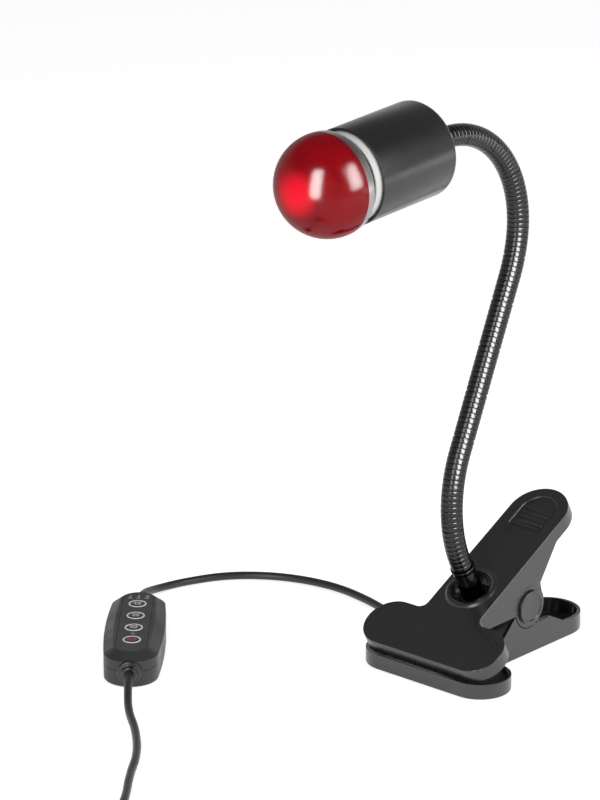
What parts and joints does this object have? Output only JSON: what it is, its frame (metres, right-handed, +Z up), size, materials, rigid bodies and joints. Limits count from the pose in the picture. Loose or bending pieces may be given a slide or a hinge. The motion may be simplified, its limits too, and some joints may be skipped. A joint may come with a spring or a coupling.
{
  "type": "clip-on heat lamp",
  "caption": "Clip-on heat lamp: spring clip, bendable gooseneck, cylindrical head with red reflector bulb, and an inline timer on the mains lead.",
  "frame": {"origin": "on the clip's flat underside, below the centre of the T-shaped jaw's bar", "axes": "+Z up, out of the surface the clip stands on; -Y out of the jaw mouth, the way the lamp head points; +Y towards the handles; +X to the right when looking along +Y"},
  "size_m": [0.3286, 0.4658, 0.3629],
  "materials": {
    "black_abs": "satin black moulded plastic",
    "rubber_pad": "matte black rubber",
    "steel": "plain steel",
    "hinge_caps": "satin black moulded plastic",
    "dark_chrome": "dark polished metal",
    "white_liner": "white heat-resistant liner",
    "socket_white": "white moulded socket",
    "brass": "plain metal contact",
    "red_glass": "deep red glossy glass",
    "silvered_glass": "glass silvered inside",
    "bulb_cap_metal": "plain screw cap",
    "clear_glass": "clear glass stem",
    "timer_case": "fine-grained dark grey plastic",
    "timer_button": "fine-grained dark grey plastic",
    "white_print": "white printed ring",
    "lens": "translucent grey plastic",
    "board": "green circuit board",
    "component": "black moulded component",
    "cord": "satin dark grey sheath",
    "gland": "glossy black plastic"
  },
  "bodies": {
    "clip_base": {"lower_jaw": "black_abs", "lower_pad": "rubber_pad", "hinge_pin": "steel", "torsion_spring": "steel", "cord_relief": "gland", "inner_lead": "cord", "cord_lamp_side": "cord", "cord_plug_side": "cord", "cord_coil": "cord", "cord_tail": "cord", "plug_body": "black_abs", "plug_pins": "brass", "timer_base": "timer_case", "timer_cover": "timer_case", "timer_panel": "timer_case", "button_rings": "white_print", "indicator_lenses": "lens", "circuit_board": "board", "tact_switches": "component", "relay": "component", "case_screws": "steel", "cord_gland_lamp_side": "gland", "cord_gland_plug_side": "gland"},
    "upper_clip": {"upper_jaw": "black_abs", "upper_pad": "rubber_pad", "pivot_cap_left": "hinge_caps", "pivot_cap_right": "hinge_caps", "base_ferrule": "dark_chrome", "base_washer": "steel", "base_nut": "steel"},
    "neck_link_01": {"neck_link_01": "dark_chrome"},
    "neck_link_02": {"neck_link_02": "dark_chrome"},
    "neck_link_03": {"neck_link_03": "dark_chrome"},
    "neck_link_04": {"neck_link_04": "dark_chrome"},
    "neck_link_05": {"neck_link_05": "dark_chrome"},
    "neck_link_06": {"neck_link_06": "dark_chrome"},
    "neck_link_07": {"neck_link_07": "dark_chrome"},
    "neck_link_08": {"neck_link_08": "dark_chrome"},
    "neck_link_09": {"neck_link_09": "dark_chrome"},
    "neck_link_10": {"neck_link_10": "dark_chrome"},
    "neck_link_11": {"neck_link_11": "dark_chrome"},
    "neck_link_12": {"neck_link_12": "dark_chrome"},
    "lamp_head": {"head_ferrule": "dark_chrome", "head_nut": "steel", "lamp_housing": "black_abs", "heat_liner": "white_liner", "socket_bracket": "steel", "socket_body": "socket_white", "socket_shell": "brass", "centre_contact": "brass", "socket_screws": "steel"},
    "bulb": {"bulb_globe": "red_glass", "bulb_reflector": "silvered_glass", "bulb_cap": "bulb_cap_metal", "bulb_contact": "brass", "filament_stem": "clear_glass"},
    "button_timer_1": {"button_timer_1": "timer_button"},
    "button_timer_2": {"button_timer_2": "timer_button"},
    "button_timer_3": {"button_timer_3": "timer_button"},
    "button_power": {"button_power": "timer_button"}
  },
  "joints": [
    {"name": "jaw_pivot", "type": "hinge", "parent": "clip_base", "child": "upper_clip", "pos_m": [0, 0.0615, 0.0308], "axis": [-1, 0, 0], "range_deg": [0, 35], "stiffness_Nm_per_rad": 0.6, "springref_deg": -40.11, "deforming": ["torsion_spring"]},
    {"name": "neck_01_pitch", "type": "hinge", "parent": "upper_clip", "child": "neck_link_01", "pos_m": [0, 0.02129, 0.06393], "axis": [1, 0, 0], "range_deg": [-6, 6]},
    {"name": "neck_02_sway", "type": "hinge", "parent": "neck_link_01", "child": "neck_link_02", "pos_m": [0, 0.01226, 0.09046], "axis": [0, 0.9877, 0.1566], "range_deg": [-6, 6]},
    {"name": "neck_03_pitch", "type": "hinge", "parent": "neck_link_02", "child": "neck_link_03", "pos_m": [0, 0.01264, 0.11848], "axis": [1, 0, 0], "range_deg": [-6, 6]},
    {"name": "neck_04_sway", "type": "hinge", "parent": "neck_link_03", "child": "neck_link_04", "pos_m": [0, 0.02198, 0.14495], "axis": [0, 0.9135, -0.4067], "range_deg": [-6, 6]},
    {"name": "neck_05_pitch", "type": "hinge", "parent": "neck_link_04", "child": "neck_link_05", "pos_m": [0, 0.03343, 0.17068], "axis": [1, 0, 0], "range_deg": [-6, 6]},
    {"name": "neck_06_sway", "type": "hinge", "parent": "neck_link_05", "child": "neck_link_06", "pos_m": [0, 0.04488, 0.1964], "axis": [0, 0.9135, -0.4067], "range_deg": [-6, 6]},
    {"name": "neck_07_pitch", "type": "hinge", "parent": "neck_link_06", "child": "neck_link_07", "pos_m": [0, 0.05634, 0.22213], "axis": [1, 0, 0], "range_deg": [-6, 6]},
    {"name": "neck_08_sway", "type": "hinge", "parent": "neck_link_07", "child": "neck_link_08", "pos_m": [0, 0.06691, 0.24819], "axis": [0, 0.9636, -0.2673], "range_deg": [-6, 6]},
    {"name": "neck_09_pitch", "type": "hinge", "parent": "neck_link_08", "child": "neck_link_09", "pos_m": [0, 0.06945, 0.27606], "axis": [1, 0, 0], "range_deg": [-6, 6]},
    {"name": "neck_10_sway", "type": "hinge", "parent": "neck_link_09", "child": "neck_link_10", "pos_m": [0, 0.06058, 0.30257], "axis": [0, 0.8608, 0.509], "range_deg": [-6, 6]},
    {"name": "neck_11_pitch", "type": "hinge", "parent": "neck_link_10", "child": "neck_link_11", "pos_m": [0, 0.04163, 0.32311], "axis": [1, 0, 0], "range_deg": [-6, 6]},
    {"name": "neck_12_sway", "type": "hinge", "parent": "neck_link_11", "child": "neck_link_12", "pos_m": [0, 0.01592, 0.33408], "axis": [0, 0.1912, 0.9815], "range_deg": [-6, 6]},
    {"name": "neck_13_pitch", "type": "hinge", "parent": "neck_link_12", "child": "lamp_head", "pos_m": [0, -0.01214, 0.33462], "axis": [1, 0, 0], "range_deg": [-6, 6]},
    {"name": "bulb_slide", "type": "slide", "parent": "lamp_head", "child": "bulb", "axis": [0, -0.9987, -0.0506], "range_m": [0, 0.03]},
    {"name": "timer_1_press", "type": "slide", "parent": "clip_base", "child": "button_timer_1", "axis": [0, 0, -1], "range_m": [0, 0.0006], "stiffness_N_per_m": 400, "springref_m": -0.0004},
    {"name": "timer_2_press", "type": "slide", "parent": "clip_base", "child": "button_timer_2", "axis": [0, 0, -1], "range_m": [0, 0.0006], "stiffness_N_per_m": 400, "springref_m": -0.0004},
    {"name": "timer_3_press", "type": "slide", "parent": "clip_base", "child": "button_timer_3", "axis": [0, 0, -1], "range_m": [0, 0.0006], "stiffness_N_per_m": 400, "springref_m": -0.0004},
    {"name": "power_press", "type": "slide", "parent": "clip_base", "child": "button_power", "axis": [0, 0, -1], "range_m": [0, 0.0006], "stiffness_N_per_m": 400, "springref_m": -0.0004}
  ],
  "couplings": [
    {"joint": "neck_03_pitch", "follows": "neck_01_pitch", "ratio": 1},
    {"joint": "neck_04_sway", "follows": "neck_02_sway", "ratio": 1},
    {"joint": "neck_05_pitch", "follows": "neck_01_pitch", "ratio": 1},
    {"joint": "neck_06_sway", "follows": "neck_02_sway", "ratio": 1},
    {"joint": "neck_07_pitch", "follows": "neck_01_pitch", "ratio": 1},
    {"joint": "neck_10_sway", "follows": "neck_08_sway", "ratio": 1},
    {"joint": "neck_11_pitch", "follows": "neck_09_pitch", "ratio": 1},
    {"joint": "neck_12_sway", "follows": "neck_08_sway", "ratio": 1},
    {"joint": "neck_13_pitch", "follows": "neck_09_pitch", "ratio": 1}
  ]
}
